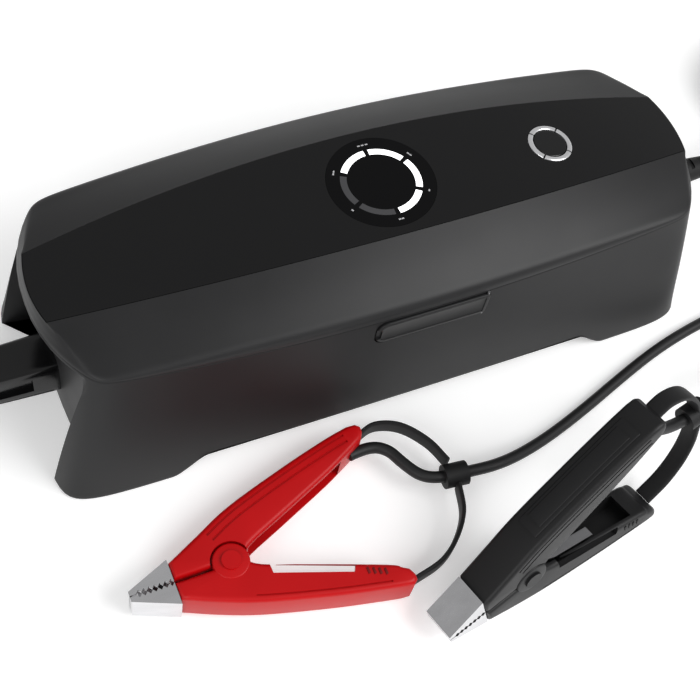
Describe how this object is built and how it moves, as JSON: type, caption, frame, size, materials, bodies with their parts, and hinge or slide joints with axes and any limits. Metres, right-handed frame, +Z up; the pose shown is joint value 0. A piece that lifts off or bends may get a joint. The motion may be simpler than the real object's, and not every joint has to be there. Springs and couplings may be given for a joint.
{
  "type": "car battery charger",
  "caption": "Portable bridge-shaped battery charger with a round light display, a button, a USB flap and red and black lead clamps.",
  "frame": {"origin": "on the floor, under the middle of the case between the end arm and the lead gland", "axes": "+X along the case towards the lead gland, +Y to the back, the USB flap faces -Y, +Z up"},
  "size_m": [0.4542, 0.2225, 0.0805],
  "materials": {
    "case_black": "fine satin texture",
    "cover_black": "soft-touch satin",
    "panel_gloss": "polished",
    "lens_black": "polished",
    "light_on": "emissive, diffused",
    "light_off": "diffused",
    "ring_silver": "satin",
    "button_black": "polished",
    "board_green": "solder mask",
    "part_black": "moulded",
    "steel": "plated",
    "sink_metal": "extruded",
    "fuse_orange": "clear tinted",
    "cell_wrap": "shrink sleeve",
    "rubber_black": "matt",
    "lead_black": "satin sleeve",
    "flap_black": "matt",
    "clamp_red": "satin",
    "clamp_black": "satin",
    "jaw_chrome": "polished"
  },
  "bodies": {
    "charger": {"battery_cells": "cell_wrap", "black_clamp_collar": "rubber_black", "black_clamp_handle_upper": "clamp_black", "black_clamp_jaw_upper": "jaw_chrome", "black_clamp_pivot_pin": "steel", "black_clamp_spring": "steel", "black_clamp_strap_lower": "rubber_black", "black_clamp_strap_upper": "rubber_black", "black_lead": "lead_black", "board_screws": "steel", "board_standoffs": "steel", "button_ring": "ring_silver", "capacitors": "part_black", "case_gasket": "rubber_black", "case_screws": "steel", "cell_holder": "part_black", "display_board": "board_green", "display_leds": "light_on", "display_lens": "lens_black", "display_screws": "steel", "end_arm": "case_black", "gland_nut": "flap_black", "gloss_panel": "panel_gloss", "heat_sink": "sink_metal", "inductor": "part_black", "lead_gland": "rubber_black", "lead_splitter": "rubber_black", "light_guides_dim": "light_off", "light_guides_lit": "light_on", "lower_case": "case_black", "main_board": "board_green", "main_lead_coil": "lead_black", "main_lead_end": "lead_black", "main_lead_start": "lead_black", "output_fuse": "fuse_orange", "output_relay": "part_black", "red_clamp_collar": "rubber_black", "red_clamp_handle_upper": "clamp_red", "red_clamp_jaw_upper": "jaw_chrome", "red_clamp_pivot_pin": "steel", "red_clamp_spring": "steel", "red_clamp_strap_lower": "rubber_black", "red_clamp_strap_upper": "rubber_black", "red_lead": "lead_black", "rubber_feet": "rubber_black", "tact_switch": "part_black", "top_cover": "cover_black", "transformer": "part_black", "usb_a_receptacle": "steel", "usb_board": "board_green", "usb_c_receptacle": "steel", "usb_flap_pin": "steel"},
    "usb_flap": {"usb_flap": "flap_black"},
    "power_button": {"button_cap": "button_black"},
    "red_clamp_lower": {"red_clamp_handle_lower": "clamp_red", "red_clamp_jaw_lower": "jaw_chrome"},
    "black_clamp_lower": {"black_clamp_handle_lower": "clamp_black", "black_clamp_jaw_lower": "jaw_chrome"}
  },
  "joints": [
    {"name": "usb_flap_hinge", "type": "hinge", "parent": "charger", "child": "usb_flap", "pos_m": [0.0244, -0.0459, 0.0579], "axis": [0, 0, 1], "range_deg": [0, 90]},
    {"name": "power_button_press", "type": "slide", "parent": "charger", "child": "power_button", "axis": [-0.0864, 0, -0.9963], "range_m": [0, 0.0008], "stiffness_N_per_m": 900},
    {"name": "red_clamp_hinge", "type": "hinge", "parent": "charger", "child": "red_clamp_lower", "pos_m": [-0.087, -0.092, 0.009], "axis": [0, 0, 1], "range_deg": [0, 30], "stiffness_Nm_per_rad": 0.9, "springref_deg": -14.32, "deforming": ["red_clamp_spring", "red_clamp_strap_lower"]},
    {"name": "black_clamp_hinge", "type": "hinge", "parent": "charger", "child": "black_clamp_lower", "pos_m": [0.007, -0.128, 0.01742], "axis": [0.1931, -0.9565, 0.2187], "range_deg": [0, 30], "stiffness_Nm_per_rad": 0.9, "springref_deg": -14.32, "deforming": ["black_clamp_spring", "black_clamp_strap_lower"]}
  ]
}
